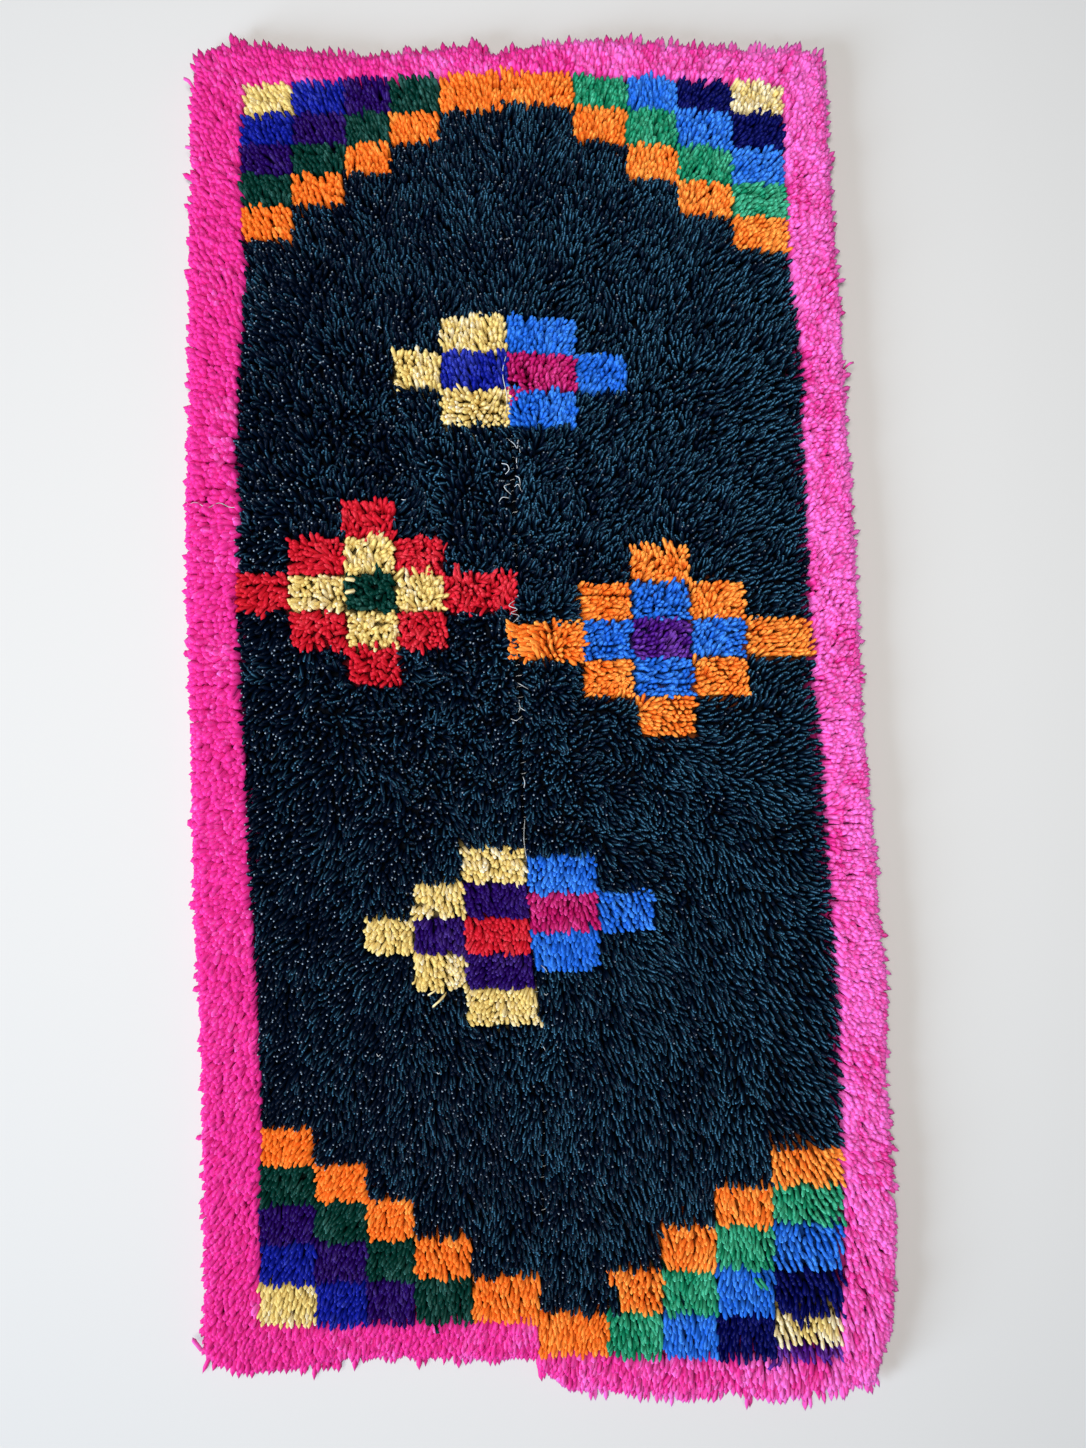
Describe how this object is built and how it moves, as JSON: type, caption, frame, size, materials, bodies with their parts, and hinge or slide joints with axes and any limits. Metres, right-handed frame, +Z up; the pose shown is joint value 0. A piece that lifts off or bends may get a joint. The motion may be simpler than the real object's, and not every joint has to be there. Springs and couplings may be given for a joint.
{
  "type": "wangden rug",
  "caption": "Long shaggy rug of two sewn pile strips, with a pink border, stepped checker corners and stepped cross motifs on a near-black field.",
  "frame": {"origin": "on the floor, under the middle of the rug's bounding box", "axes": "+Y along the rug towards its head end, +X across it towards the wider strip, +Z up out of the pile"},
  "size_m": [0.774, 1.474, 0.0299],
  "materials": {
    "yarn_field": "near-black teal cut pile",
    "yarn_pink": "bright pink cut pile",
    "yarn_cream": "cream yellow cut pile",
    "yarn_royal": "royal blue cut pile",
    "yarn_purple": "dark purple cut pile",
    "yarn_dark_green": "dark green cut pile",
    "yarn_orange": "orange cut pile",
    "yarn_emerald": "emerald green cut pile",
    "yarn_blue": "bright blue cut pile",
    "yarn_navy": "navy cut pile",
    "yarn_crimson": "crimson cut pile",
    "yarn_red": "red cut pile",
    "yarn_violet": "violet cut pile",
    "ground_cotton": "undyed cotton warp and weft",
    "sewing_thread": "pale two-ply sewing thread"
  },
  "bodies": {
    "root": {"strip_left": "yarn_field", "strip_right": "yarn_field"}
  },
  "joints": []
}
